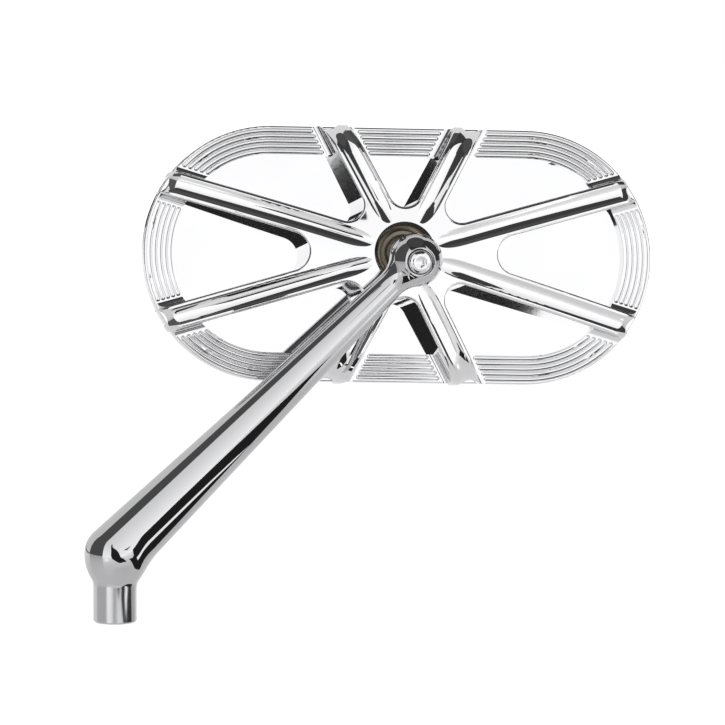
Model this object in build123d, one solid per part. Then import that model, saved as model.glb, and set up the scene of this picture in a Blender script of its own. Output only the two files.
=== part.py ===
from build123d import *
import math
import os

os.makedirs("parts", exist_ok=True)

# Stem and arm: Z = 0 on the bottom of the collar, arm in the XZ plane, -Y to the front
COLLAR_RADIUS = 6.35
COLLAR_STRAIGHT = 11.9
COLLAR_CHAMFER = 0.5
SHOULDER_BLEND = 3.0
ELBOW_HEIGHT = 19.95
ELBOW_RADIUS = 8.9
BOSS_REACH = 90.2
BOSS_RISE = 84.15
BOSS_RADIUS = 7.9
NECK_RADIUS = 4.3
NECK_TO_BOSS = 16.0
NECK_FLARE = 8.0

# Threaded hole in the collar
STEM_THREAD_RADIUS = 3.4
STEM_THREAD_DEPTH = 15.0

# Screw, washers and their seats in the boss
SCREW_RADIUS = 2.0
SCREW_HEAD_RADIUS = 3.8
SCREW_HEAD_HEIGHT = 2.2
SCREW_CROWN_RADIUS = 2.0
SCREW_LENGTH = 10.0
SOCKET_FLATS = 2.5
SOCKET_DEPTH = 1.3
SCREW_PROUD = 0.3
COUNTERBORE_RADIUS = 4.15
WASHER_RADIUS = 3.9
WASHER_THICKNESS = 0.5
FRICTION_WASHER_THICKNESS = 0.5
SPOT_FACE_DEPTH = 1.0

# Ball stud: spigot in the boss, shoulder, neck and ball
BALL_RADIUS = 6.35
BALL_OFFSET = 18.3
STUD_NECK_RADIUS = 3.2
STUD_SHOULDER_RADIUS = 3.7
STUD_SHOULDER_THICKNESS = 1.5
SPIGOT_RADIUS = 2.75
SPIGOT_END_GAP = 0.5
BOSS_WEB = 2.8
SCREW_TIP_GAP = 0.8

# Fits
RUNNING_GAP = 0.04
STATIC_GAP = 0.02
SCREW_HOLE_GAP = 0.15

# Head, in its own frame: X across, Y up, Z out of the spoked face, Z = 0 on the pocket floor
HEAD_WIDTH = 152.0
HEAD_HEIGHT = 75.6
HUB_HEIGHT = 16.0
DOME_RADIUS = 240.0
RIM_BAND = 8.4
RIM_HEIGHT = 2.6
RIM_EDGE_ROUND = 0.5
FLOOR_THICKNESS = 2.4
BACK_ROUND = 3.0
BACK_LAND = 1.4

# Spokes and the grooves along them
LONG_SPOKE_ANGLE = 16.35
SHORT_SPOKE_ANGLE = 62.2
SPOKE_WIDTH = 7.5
SPOKE_OVERHANG = 0.5
SPOKE_SKIRT = 2.5
LONG_SPOKE_ROLL = 5.8
SHORT_SPOKE_ROLL = 10.0
ROLL_CHANGE = 50.0
SPOKE_EDGE_ROUND = 0.8
FOOT_RADIUS = 2.0
FOOT_SINK = 0.03
FOOT_BITE = 0.6
POCKET_CORNER = 4.8
SIDE_POCKET_CORNER = 5.8
GROOVE_RADIUS = 4.1
GROOVE_DEPTH = 1.0
GROOVE_START = 17.7
GROOVE_LEAD_RADIUS = 30.0
GROOVE_LEAD_CLEAR = 0.4

# Flutes of the rim
FLUTE_COUNT = 5
FLUTE_PITCH = 1.55
FLUTE_RADIUS = 0.8
FLUTE_DEPTH = 0.5
FLUTE_FIRST = 1.4
FLUTE_END_GAP = 2.0

# Glass and its pad in the rear recess
GLASS_THICKNESS = 2.5
GLASS_GAP = 0.3
GLASS_BEVEL = 0.6
GLASS_SINK = 0.3
PAD_THICKNESS = 0.8
PAD_MARGIN = 2.0

# Socket in the hub, front to back
BALL_DEPTH = 7.0
MOUTH_RADIUS = 9.27
LIP_RADIUS = 7.9
LIP_DEPTH = 2.2
BORE_RADIUS = 8.6
DISH_DEPTH = 3.8
LINER_THICKNESS = 0.9
LINER_SPLIT = 0.8
LINER_RIM_SET_BACK = 0.2
SEAT_SPLIT = 0.6
REAR_SEAT_WALL = 1.0
SPRING_THICKNESS = 0.4
SPRING_CONE = 0.25
SPRING_HOLE_RADIUS = 4.0
PLUG_SLOT_WIDTH = 1.6
PLUG_SLOT_LENGTH = 11.0
PLUG_SLOT_DEPTH = 0.9

# Rest position of the head on its ball
REST_YAW = -4.7
REST_PITCH = 9.45
REST_ROLL = 1.8

# A face counts as upright while its normal's rise stays under this
UPRIGHT_LIMIT = 0.03

SPOKE_ANGLES = (LONG_SPOKE_ANGLE, SHORT_SPOKE_ANGLE, 180 - SHORT_SPOKE_ANGLE, 180 - LONG_SPOKE_ANGLE)
END_RADIUS = HEAD_HEIGHT / 2
END_CENTRE = HEAD_WIDTH / 2 - END_RADIUS
HEAD_BACK = FLOOR_THICKNESS + PAD_THICKNESS + GLASS_THICKNESS + GLASS_SINK
BALL_HEIGHT = HUB_HEIGHT - BALL_DEPTH
LINER_INNER = BALL_RADIUS + RUNNING_GAP
LINER_OUTER = LINER_INNER + LINER_THICKNESS
SEAT_RADIUS = LINER_OUTER + RUNNING_GAP
ELBOW = Vector(0, 0, ELBOW_HEIGHT)
BOSS = Vector(BOSS_REACH, 0, ELBOW_HEIGHT + BOSS_RISE)
ARM_LENGTH = (BOSS - ELBOW).length
SPOT_FACE = BOSS_RADIUS - SPOT_FACE_DEPTH
SHOULDER_SEAT = SPOT_FACE + FRICTION_WASHER_THICKNESS
COUNTERBORE_MOUTH = math.sqrt(BOSS_RADIUS**2 - COUNTERBORE_RADIUS**2)
COUNTERBORE_FLOOR = COUNTERBORE_MOUTH + SCREW_PROUD - SCREW_HEAD_HEIGHT - WASHER_THICKNESS
SPIGOT_END = COUNTERBORE_FLOOR - BOSS_WEB - SPIGOT_END_GAP

# Boss frame: Z runs backwards along the stud, from the centre of the boss towards the head
BOSS_PLACE = Pos(*BOSS) * Rot(-90, 0, 0)
# Head frame: the ball's centre is the point that all rest angles turn about
HEAD_PLACE = (
    Pos(BOSS.X, BOSS.Y + BALL_OFFSET, BOSS.Z)
    * Rot(0, 0, REST_YAW)
    * Rot(90 - REST_PITCH, 0, 0)
    * Rot(0, 0, -REST_ROLL)
    * Pos(0, 0, -BALL_HEIGHT)
)


def turned(outline):
    """Solid of revolution about Z from a closed outline drawn in the XZ plane."""
    return revolve(make_face(Plane.XZ * outline), Axis.Z)


def rod(radius, start, end):
    """Round rod along Z between two heights."""
    return Pos(0, 0, start) * Cylinder(radius, end - start, align=(Align.CENTER, Align.CENTER, Align.MIN))


def stadium_block(inset, bottom, top):
    """Block with the head's outline, drawn in by an inset, between two heights."""
    outline = SlotOverall(HEAD_WIDTH - 2 * inset, HEAD_HEIGHT - 2 * inset)
    return Pos(0, 0, bottom) * extrude(outline, amount=top - bottom)


def collar_and_elbow():
    """Straight collar that swells into the elbow ball, turned about Z."""
    rise = ELBOW_HEIGHT - COLLAR_STRAIGHT
    swell = ELBOW_RADIUS - COLLAR_RADIUS
    shoulder_radius = (rise**2 + swell**2) / (2 * swell)
    shoulder_swing = math.asin(rise / shoulder_radius) / 2
    shoulder_middle = (
        ELBOW_RADIUS - shoulder_radius * (1 - math.cos(shoulder_swing)),
        ELBOW_HEIGHT - shoulder_radius * math.sin(shoulder_swing),
    )
    diagonal = ELBOW_RADIUS * math.sqrt(0.5)
    outline = Curve() + [
        Polyline((0, 0), (COLLAR_RADIUS - COLLAR_CHAMFER, 0), (COLLAR_RADIUS, COLLAR_CHAMFER)),
        Line((COLLAR_RADIUS, COLLAR_CHAMFER), (COLLAR_RADIUS, COLLAR_STRAIGHT)),
        ThreePointArc((COLLAR_RADIUS, COLLAR_STRAIGHT), shoulder_middle, (ELBOW_RADIUS, ELBOW_HEIGHT)),
        ThreePointArc(
            (ELBOW_RADIUS, ELBOW_HEIGHT),
            (diagonal, ELBOW_HEIGHT + diagonal),
            (0, ELBOW_HEIGHT + ELBOW_RADIUS),
        ),
        Line((0, ELBOW_HEIGHT + ELBOW_RADIUS), (0, 0)),
    ]
    face = make_face(outline)
    face = fillet(face.vertices().sort_by_distance((COLLAR_RADIUS, COLLAR_STRAIGHT))[0], SHOULDER_BLEND)
    return revolve(Plane.XZ * face, Axis.Z)


def tapered_arm():
    """Taper that leaves the elbow ball tangentially and flares into the boss ball."""
    neck_at = ARM_LENGTH - NECK_TO_BOSS
    lean = math.asin(ELBOW_RADIUS / math.hypot(neck_at, NECK_RADIUS)) - math.atan2(NECK_RADIUS, neck_at)
    taper = math.tan(lean)
    foot = ELBOW_RADIUS / math.cos(lean)
    start = (ELBOW_RADIUS * math.cos(lean), ELBOW_RADIUS * math.sin(lean))
    # Where the side r = foot - taper s meets the boss ball, a circle about s = ARM_LENGTH
    square = 1 + taper**2
    linear = -2 * (ARM_LENGTH + taper * foot)
    constant = ARM_LENGTH**2 + foot**2 - BOSS_RADIUS**2
    meet_at = (-linear - math.sqrt(linear**2 - 4 * square * constant)) / (2 * square)
    meet = (foot - taper * meet_at, meet_at)
    outline = Curve() + [
        Polyline((0, ARM_LENGTH + BOSS_RADIUS), (0, start[1]), start, meet),
        ThreePointArc(meet, (BOSS_RADIUS, ARM_LENGTH), (0, ARM_LENGTH + BOSS_RADIUS)),
    ]
    face = make_face(outline)
    face = fillet(face.vertices().sort_by_distance(meet)[0], NECK_FLARE)
    along = Plane(origin=ELBOW, x_dir=(0, 1, 0), z_dir=BOSS - ELBOW)
    return along.location * revolve(Plane.XZ * face, Axis.Z)


def stem_arm():
    """Collar, elbow, tapered arm and boss: one casting, drilled for the stud, the screw and the mount."""
    tapped = rod(STEM_THREAD_RADIUS, 0, STEM_THREAD_DEPTH)
    spot_face = rod(BOSS_RADIUS, SPOT_FACE, 2 * BOSS_RADIUS)
    spigot_bore = rod(SPIGOT_RADIUS + RUNNING_GAP, BOSS_WEB - COUNTERBORE_FLOOR, BOSS_RADIUS)
    screw_hole = rod(SCREW_RADIUS + SCREW_HOLE_GAP, -BOSS_RADIUS, BOSS_RADIUS)
    counterbore = rod(COUNTERBORE_RADIUS, -BOSS_RADIUS, -COUNTERBORE_FLOOR)
    drilled = spot_face + spigot_bore + screw_hole + counterbore
    return collar_and_elbow() + tapered_arm() - tapped - BOSS_PLACE * drilled


def pivot_screw():
    """Button-head screw with a hexagon socket, along the stud in the boss frame."""
    seat = -COUNTERBORE_FLOOR - WASHER_THICKNESS
    top = seat - SCREW_HEAD_HEIGHT
    outline = Curve() + [
        Line((0, top), (SCREW_CROWN_RADIUS, top)),
        TangentArc((SCREW_CROWN_RADIUS, top), (SCREW_HEAD_RADIUS, seat), tangent=(1, 0)),
        Polyline((SCREW_HEAD_RADIUS, seat), (SCREW_RADIUS, seat), (SCREW_RADIUS, seat + SCREW_LENGTH)),
        Polyline((SCREW_RADIUS, seat + SCREW_LENGTH), (0, seat + SCREW_LENGTH), (0, top)),
    ]
    socket = extrude(
        Pos(0, 0, top) * RegularPolygon(SOCKET_FLATS / 2, 6, major_radius=False), amount=SOCKET_DEPTH
    )
    return BOSS_PLACE * (turned(outline) - socket)


def screw_washer():
    """Plain washer under the screw head."""
    seat = -COUNTERBORE_FLOOR
    disc = rod(WASHER_RADIUS, seat - WASHER_THICKNESS, seat)
    hole = rod(SCREW_RADIUS + SCREW_HOLE_GAP, seat - WASHER_THICKNESS, seat)
    return BOSS_PLACE * (disc - hole)


def friction_washer():
    """Thin washer between the boss and the stud's shoulder."""
    disc = rod(STUD_SHOULDER_RADIUS, SPOT_FACE, SHOULDER_SEAT)
    hole = rod(SPIGOT_RADIUS + RUNNING_GAP, SPOT_FACE, SHOULDER_SEAT)
    return BOSS_PLACE * (disc - hole)


def ball_stud():
    """Spigot in the boss, shoulder on the washer, neck and ball, drilled for the screw."""
    ball = Pos(0, 0, BALL_OFFSET) * Sphere(BALL_RADIUS)
    spigot = rod(SPIGOT_RADIUS, -SPIGOT_END, SHOULDER_SEAT)
    shoulder = rod(STUD_SHOULDER_RADIUS, SHOULDER_SEAT, SHOULDER_SEAT + STUD_SHOULDER_THICKNESS)
    neck = rod(STUD_NECK_RADIUS, SHOULDER_SEAT, BALL_OFFSET)
    tip = SCREW_LENGTH - COUNTERBORE_FLOOR - WASHER_THICKNESS
    drilled = rod(SCREW_RADIUS + RUNNING_GAP, -SPIGOT_END, tip + SCREW_TIP_GAP)
    return BOSS_PLACE * (ball + spigot + shoulder + neck - drilled)


def spoke_reach(angle):
    """Distance from the hub's axis to the outer face of a spoke, along the spoke."""
    turn = math.radians(angle)
    straight = (END_RADIUS + SPOKE_OVERHANG) / abs(math.sin(turn))
    if straight * abs(math.cos(turn)) <= END_CENTRE:
        return straight
    across = END_CENTRE * math.sin(turn)
    return END_CENTRE * abs(math.cos(turn)) + math.sqrt((END_RADIUS + SPOKE_OVERHANG) ** 2 - across**2)


def side_lean(angle):
    """Angle between a spoke and the outline's normal where the spoke crosses it."""
    turn = math.radians(angle)
    reach = spoke_reach(angle)
    if reach * math.cos(turn) <= END_CENTRE:
        return math.pi / 2 - turn
    return math.atan2(reach * math.sin(turn), reach * math.cos(turn) - END_CENTRE) - turn


def groove_cutter(angle, end_roll):
    """Round cutter that follows one spoke's crest outwards and over its rolled end."""
    roll = end_roll / math.cos(side_lean(angle))
    lift = GROOVE_RADIUS - GROOVE_DEPTH
    dome_centre = HUB_HEIGHT - DOME_RADIUS
    roll_at = spoke_reach(angle) - roll
    roll_height = dome_centre + math.sqrt((DOME_RADIUS - roll) ** 2 - roll_at**2)
    path_radius = DOME_RADIUS + lift

    def on_dome(swing):
        return (path_radius * math.sin(swing), dome_centre + path_radius * math.cos(swing))

    def on_roll(swing):
        return (roll_at + (roll + lift) * math.sin(swing), roll_height + (roll + lift) * math.cos(swing))

    first = math.asin(GROOVE_START / path_radius)
    last = math.asin(roll_at / (DOME_RADIUS - roll))
    side = math.pi / 2
    lead_swing = math.acos(1 - (GROOVE_DEPTH + GROOVE_LEAD_CLEAR) / GROOVE_LEAD_RADIUS)
    start = on_dome(first)
    lead_centre = (
        start[0] + GROOVE_LEAD_RADIUS * math.sin(first),
        start[1] + GROOVE_LEAD_RADIUS * math.cos(first),
    )

    def on_lead(swing):
        return (
            lead_centre[0] - GROOVE_LEAD_RADIUS * math.sin(first + swing),
            lead_centre[1] - GROOVE_LEAD_RADIUS * math.cos(first + swing),
        )

    path = Curve() + [
        ThreePointArc(on_lead(lead_swing), on_lead(lead_swing / 2), start),
        ThreePointArc(start, on_dome((first + last) / 2), on_dome(last)),
        ThreePointArc(on_roll(last), on_roll((last + side) / 2), on_roll(side)),
        Line(on_roll(side), (roll_at + roll + lift, -SPOKE_SKIRT - GROOVE_RADIUS)),
    ]
    turn = math.radians(angle)
    outwards = (math.cos(turn), math.sin(turn), 0)
    aside = (math.sin(turn), -math.cos(turn), 0)
    path = Plane(origin=(0, 0, 0), x_dir=outwards, z_dir=aside).location * path
    section = Plane(origin=path @ 0, z_dir=path % 0) * Circle(GROOVE_RADIUS)
    return sweep(section, path=path)


def mirrored_four(quarter):
    """The four mirror images of a solid about the head's two middle planes."""
    upper = quarter + mirror(quarter, about=Plane.YZ)
    return upper + mirror(upper, about=Plane.XZ)


def rolled_dome(roll):
    """Low dome over the head's whole outline, its edge rolled over with one radius."""
    block = stadium_block(-SPOKE_OVERHANG, -SPOKE_SKIRT, 2 * HUB_HEIGHT)
    dome = block & Pos(0, 0, HUB_HEIGHT - DOME_RADIUS) * Sphere(DOME_RADIUS)
    return fillet(dome.faces().filter_by(GeomType.SPHERE)[0].edges(), roll)


def crown():
    """The dome that the spokes are cut from: rolled more over the long sides than over the ends."""
    middle = Box(2 * ROLL_CHANGE, 2 * HEAD_WIDTH, 4 * HUB_HEIGHT)
    return (rolled_dome(SHORT_SPOKE_ROLL) & middle) + (rolled_dome(LONG_SPOKE_ROLL) - middle)


def spoke_feet(angle):
    """Hollow fillets between the rim's top and both sides of one spoke."""
    wall = SPOKE_WIDTH / 2
    centre = (wall + FOOT_RADIUS - FOOT_SINK, RIM_HEIGHT + FOOT_RADIUS - FOOT_SINK)
    block = Pos(wall - FOOT_BITE, RIM_HEIGHT - FOOT_BITE) * Rectangle(
        FOOT_RADIUS + FOOT_BITE - FOOT_SINK,
        FOOT_RADIUS + FOOT_BITE - FOOT_SINK,
        align=(Align.MIN, Align.MIN),
    )
    section = block - Pos(*centre) * Circle(FOOT_RADIUS)
    section += mirror(section, about=Plane.YZ)
    turn = math.radians(angle)
    outwards = (math.cos(turn), math.sin(turn), 0)
    across = (-math.sin(turn), math.cos(turn), 0)
    feet = extrude(Plane(origin=(0, 0, 0), x_dir=across, z_dir=outwards) * section, amount=HEAD_WIDTH)
    ring = stadium_block(0, 0, HUB_HEIGHT) - stadium_block(RIM_BAND, 0, HUB_HEIGHT)
    return feet & ring & Pos(0, 0, -SPOKE_EDGE_ROUND) * crown()


def spokes():
    """Eight domed spokes on one hub: rounded pocket corners, rolled ends, rounded edges, milled grooves."""
    bars = Sketch()
    for angle in SPOKE_ANGLES:
        bars += Rot(0, 0, angle) * Rectangle(2 * HEAD_WIDTH, SPOKE_WIDTH)
    inner = bars.vertices().filter_by(lambda corner: math.hypot(corner.X, corner.Y) < END_RADIUS)
    bars = fillet(inner.filter_by(lambda corner: abs(corner.Y) > SPOKE_WIDTH / 2), POCKET_CORNER)
    side = bars.vertices().filter_by(lambda corner: abs(corner.Y) < SPOKE_WIDTH / 4)
    bars = fillet(side, SIDE_POCKET_CORNER)

    dome = crown()
    spider = dome & Pos(0, 0, -SPOKE_SKIRT) * extrude(bars, amount=3 * HUB_HEIGHT)

    wall_edges = spider.faces().filter_by(is_spoke_wall).edges()
    tops = spider.faces().filter_by(lambda face: not is_upright(face) and face.center().Z > 0)
    crests = [edge for edge in tops.edges() if edge in wall_edges]
    spider = fillet(crests, SPOKE_EDGE_ROUND)

    spider -= mirrored_four(groove_cutter(LONG_SPOKE_ANGLE, LONG_SPOKE_ROLL))
    spider -= mirrored_four(groove_cutter(SHORT_SPOKE_ANGLE, SHORT_SPOKE_ROLL))
    return spider


def is_upright(face):
    """True for a face whose normal lies level at its middle."""
    return abs(face.normal_at().Z) < UPRIGHT_LIMIT


def is_spoke_wall(face):
    """Upright faces of the spokes and pocket corners, without the spokes' outer ends."""
    middle = face.center()
    beyond = max(0, abs(middle.X) - END_CENTRE)
    outside = math.hypot(beyond, middle.Y) > END_RADIUS - SPOKE_EDGE_ROUND
    return is_upright(face) and not outside


def flute_cutters(radius):
    """One flute of the rim, broken at each spoke: cutter tubes with round ends, for the whole rim."""
    clear = SPOKE_WIDTH / 2 + FLUTE_END_GAP + FLUTE_RADIUS
    low = math.radians(LONG_SPOKE_ANGLE)
    high = math.radians(SHORT_SPOKE_ANGLE)
    level = RIM_HEIGHT + FLUTE_RADIUS - FLUTE_DEPTH
    across = END_CENTRE * math.sin(low)
    below = low + math.asin((across - clear) / radius)
    above = low + math.asin((across + clear) / radius)
    top_end = (radius * math.cos(high) - clear) / math.sin(high)
    side_start = (radius * math.cos(high) + clear) / math.sin(high)

    def on_end(swing):
        return (END_CENTRE + radius * math.cos(swing), radius * math.sin(swing), level)

    end_arc = ThreePointArc(on_end(-below), on_end(0), on_end(below))
    corner_arc = ThreePointArc(on_end(above), on_end((above + math.pi / 2) / 2), on_end(math.pi / 2))
    corner_run = Line(on_end(math.pi / 2), (side_start, radius, level))
    top_run = Line((-top_end, radius, level), (top_end, radius, level))
    cutters = mirrored_four(tube(Curve() + [corner_arc, corner_run]))
    for run in (end_arc, top_run):
        cutter = tube(run)
        opposite = Plane.YZ if run is end_arc else Plane.XZ
        cutters += cutter + mirror(cutter, about=opposite)
    return cutters


def tube(path):
    """Round cutter of a flute along a path, with ball ends."""
    section = Plane(origin=path @ 0, z_dir=path % 0) * Circle(FLUTE_RADIUS)
    ends = [Pos(*(path @ end)) * Sphere(FLUTE_RADIUS) for end in (0, 1)]
    return sweep(section, path=path) + ends


def mirror_head():
    """Rim, floor, spokes and hub: one casting, bored for the ball joint and recessed for the glass."""
    plate = stadium_block(0, -HEAD_BACK, RIM_HEIGHT)
    plate = fillet(plate.faces().sort_by(Axis.Z)[0].edges(), BACK_ROUND)
    plate = fillet(plate.faces().sort_by(Axis.Z)[-1].edges(), RIM_EDGE_ROUND)
    plate -= stadium_block(RIM_BAND, 0, RIM_HEIGHT)
    for count in range(FLUTE_COUNT):
        plate -= flute_cutters(END_RADIUS - FLUTE_FIRST - count * FLUTE_PITCH)
    for angle in (LONG_SPOKE_ANGLE, SHORT_SPOKE_ANGLE):
        plate += mirrored_four(spoke_feet(angle))
    mouth = Cone(
        LIP_RADIUS,
        MOUTH_RADIUS,
        MOUTH_RADIUS - LIP_RADIUS,
        align=(Align.CENTER, Align.CENTER, Align.MAX),
    )
    lip = rod(LIP_RADIUS, 0, HUB_HEIGHT)
    bore = rod(BORE_RADIUS, -HEAD_BACK, HUB_HEIGHT - LIP_DEPTH)
    recess = stadium_block(BACK_ROUND + BACK_LAND, -HEAD_BACK, -FLOOR_THICKNESS)
    return HEAD_PLACE * (plate + spokes() - Pos(0, 0, HUB_HEIGHT) * mouth - lip - bore - recess)


def shell_zone(inner, outer, low, high):
    """Part of a hollow ball about the ball's centre, between two heights from it."""
    zone = Sphere(outer) - Sphere(inner)
    return Pos(0, 0, BALL_HEIGHT) * (zone & rod(2 * outer, low, high))


def front_liner():
    """Front half of the plastic liner round the ball."""
    rim = HUB_HEIGHT - DISH_DEPTH - BALL_HEIGHT - LINER_RIM_SET_BACK
    return HEAD_PLACE * shell_zone(LINER_INNER, LINER_OUTER, LINER_SPLIT / 2, rim)


def rear_liner():
    """Rear half of the plastic liner round the ball."""
    return HEAD_PLACE * shell_zone(LINER_INNER, LINER_OUTER, -2 * LINER_OUTER, -LINER_SPLIT / 2)


def front_seat():
    """Bronze ring behind the hub's lip: ball seat inside, dished mouth in front."""
    front = HUB_HEIGHT - LIP_DEPTH
    dish_floor = HUB_HEIGHT - DISH_DEPTH
    dish_radius = math.sqrt(SEAT_RADIUS**2 - (dish_floor - BALL_HEIGHT) ** 2)
    ring = rod(BORE_RADIUS - STATIC_GAP, BALL_HEIGHT + SEAT_SPLIT / 2, front)
    dish = Pos(0, 0, dish_floor) * Cone(
        dish_radius, LIP_RADIUS, front - dish_floor, align=(Align.CENTER, Align.CENTER, Align.MIN)
    )
    ball_space = Pos(0, 0, BALL_HEIGHT) * Sphere(SEAT_RADIUS)
    ball_space &= rod(2 * BORE_RADIUS, BALL_HEIGHT, dish_floor)
    return HEAD_PLACE * (ring - dish - ball_space)


def rear_seat():
    """Cup that presses the ball forwards."""
    bottom = BALL_HEIGHT - SEAT_RADIUS - REAR_SEAT_WALL
    cup = rod(BORE_RADIUS - STATIC_GAP, bottom, BALL_HEIGHT - SEAT_SPLIT / 2)
    return HEAD_PLACE * (cup - Pos(0, 0, BALL_HEIGHT) * Sphere(SEAT_RADIUS))


def disc_springs():
    """Two disc springs, stacked edge to edge behind the rear seat."""
    seat = BALL_HEIGHT - SEAT_RADIUS - REAR_SEAT_WALL
    outer = BORE_RADIUS - 2 * STATIC_GAP
    disc = turned(
        Polyline(
            (SPRING_HOLE_RADIUS, 0),
            (outer, -SPRING_CONE),
            (outer, -SPRING_CONE - SPRING_THICKNESS),
            (SPRING_HOLE_RADIUS, -SPRING_THICKNESS),
            close=True,
        )
    )
    pair_middle = seat - SPRING_CONE - SPRING_THICKNESS
    upper = Pos(0, 0, seat) * disc
    lower = Pos(0, 0, 2 * pair_middle) * mirror(upper, about=Plane.XY)
    return HEAD_PLACE * Compound(children=[upper, lower])


def rear_plug():
    """Screwed plug that closes the bore behind the springs, slotted for a driver."""
    front = BALL_HEIGHT - SEAT_RADIUS - REAR_SEAT_WALL - 2 * (SPRING_CONE + SPRING_THICKNESS)
    back = -FLOOR_THICKNESS
    disc = rod(BORE_RADIUS - STATIC_GAP, back, front)
    slot = Pos(0, 0, back) * Box(
        PLUG_SLOT_LENGTH, PLUG_SLOT_WIDTH, PLUG_SLOT_DEPTH, align=(Align.CENTER, Align.CENTER, Align.MIN)
    )
    return HEAD_PLACE * (disc - slot)


def glass_pad():
    """Adhesive foam pad between the recess and the glass."""
    inset = BACK_ROUND + BACK_LAND + PAD_MARGIN
    return HEAD_PLACE * stadium_block(inset, -FLOOR_THICKNESS - PAD_THICKNESS, -FLOOR_THICKNESS)


def mirror_glass():
    """Silvered glass with a bevelled rear edge."""
    front = -FLOOR_THICKNESS - PAD_THICKNESS
    glass = stadium_block(BACK_ROUND + BACK_LAND + GLASS_GAP, front - GLASS_THICKNESS, front)
    rear_edges = glass.faces().sort_by(Axis.Z)[0].edges()
    return HEAD_PLACE * chamfer(rear_edges, GLASS_BEVEL)


NODES = (
    stem_arm,
    pivot_screw,
    screw_washer,
    friction_washer,
    ball_stud,
    front_liner,
    rear_liner,
    front_seat,
    rear_seat,
    disc_springs,
    rear_plug,
    mirror_head,
    glass_pad,
    mirror_glass,
)

for node in NODES:
    export_step(node(), f"parts/{node.__name__}.step")
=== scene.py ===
# %% [markdown]
# A chrome motorcycle mirror
#
# The mirror is a polished casting on a ball joint. Chrome has hardly any colour of its own: what the
# eye sees on it is the studio, bent by the shape. So this lesson has two halves. The first builds the
# studio as a ring of cards round the mirror. The second gives each piece a surface that is smooth enough
# to mirror those cards without a ripple.

import math

import bmesh
import bpy
import numpy as np
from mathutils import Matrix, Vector


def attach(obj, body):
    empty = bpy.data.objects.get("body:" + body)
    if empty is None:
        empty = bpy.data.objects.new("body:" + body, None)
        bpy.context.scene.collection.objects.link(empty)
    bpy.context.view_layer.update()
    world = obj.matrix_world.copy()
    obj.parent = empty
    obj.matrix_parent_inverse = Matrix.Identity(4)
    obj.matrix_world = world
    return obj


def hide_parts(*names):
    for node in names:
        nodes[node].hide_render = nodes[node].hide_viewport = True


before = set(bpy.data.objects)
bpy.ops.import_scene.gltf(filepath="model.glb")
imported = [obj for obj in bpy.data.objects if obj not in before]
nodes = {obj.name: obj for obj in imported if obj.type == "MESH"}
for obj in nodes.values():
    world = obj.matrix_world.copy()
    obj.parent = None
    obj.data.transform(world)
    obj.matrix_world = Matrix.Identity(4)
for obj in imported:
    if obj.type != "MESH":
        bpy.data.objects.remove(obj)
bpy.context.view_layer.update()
scene = bpy.context.scene

# %% [markdown]
# The camera stands two metres off with a long lens, a little to the left of the mirror and a little above
# it. A long lens keeps the flutes and spokes nearly parallel, as in a catalogue picture. A closer camera
# with a short lens would frame the same width but make the arm look bloated.

# %% Camera
CAMERA_AZIMUTH = math.radians(-12.85)
CAMERA_ELEVATION = math.radians(6.79)
CAMERA_DISTANCE = 2.0
CAMERA_TARGET = Vector((0.07414, 0.0, 0.07426))
FRAME_WIDTH_AT_TARGET = 0.2126
SENSOR_WIDTH = 36.0
CLIP_END = 40.0


def direction(azimuth, elevation):
    """Unit vectors from the mirror: azimuth turns from the front (-Y) towards +X, elevation is up."""
    level = np.cos(elevation)
    upward = np.sin(elevation) + 0 * azimuth
    return np.stack([np.sin(azimuth) * level, -np.cos(azimuth) * level, upward], -1)


camera = bpy.data.objects.new("camera", bpy.data.cameras.new("camera"))
scene.collection.objects.link(camera)
towards_camera = Vector(direction(np.float64(CAMERA_AZIMUTH), np.float64(CAMERA_ELEVATION)))
camera.location = CAMERA_TARGET + CAMERA_DISTANCE * towards_camera
camera.rotation_mode = "QUATERNION"
camera.rotation_quaternion = (-towards_camera).to_track_quat("-Z", "Y")
camera.data.sensor_width = SENSOR_WIDTH
camera.data.lens = SENSOR_WIDTH * CAMERA_DISTANCE / FRAME_WIDTH_AT_TARGET
camera.data.clip_end = CLIP_END
scene.camera = camera
print("lens:", round(camera.data.lens, 1), "mm")

# %% [markdown]
# Every surface of this scene is a grid of points worked out with numpy. One helper turns such a grid into
# a mesh: neighbouring rows and columns become quads, and a closed direction joins its last line to its
# first. Building with mesh operators would also work, but a formula is shorter and is exact at any density.

# %% Grid to mesh


def grid_faces(rows, columns, close_columns=False):
    """Quads between neighbouring grid lines; closed columns wrap round to the first one."""
    row = np.arange(rows - 1)[:, None]
    column = np.arange(columns if close_columns else columns - 1)[None, :]
    next_column = (column + 1) % columns
    corners = (
        row * columns + column,
        row * columns + next_column,
        (row + 1) * columns + next_column,
        (row + 1) * columns + column,
    )
    return np.stack(np.broadcast_arrays(*corners), -1).reshape(-1, 4)


def mesh_object(name, points, faces):
    """A smooth mesh object from an array of points and an array of faces."""
    mesh = bpy.data.meshes.new(name)
    mesh.from_pydata(points.reshape(-1, 3).tolist(), [], faces.tolist())
    mesh.polygons.foreach_set("use_smooth", np.ones(len(mesh.polygons), dtype=bool))
    mesh.update()
    made = bpy.data.objects.new(name, mesh)
    scene.collection.objects.link(made)
    return made


# %% [markdown]
# The studio. Each card is a patch of a ball round the mirror, given by the two azimuths, the foot's elevation
# and the two elevations of a sloping top, as the mirror sees them. White cards light the chrome, dark ones
# draw the black lines that make it read as metal. The camera doesn't see the cards and they cast no shadow,
# so they stand wherever the reflections need them.

# %% Studio cards
STUDIO_CENTRE = np.array([0.07, 0.0, 0.08])
STUDIO_RADIUS = 3.0
SHADE_RADIUS = 2.6
CARD_STEPS = 24
WHITE = 1.34
BACKDROP_GREY = 0.8
WALL_GREY = 0.1
CEILING_GREY = 0.08
DARK = 0.02
FADE_HEIGHT = 2.3
FADE_SHARE = 0.72


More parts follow.
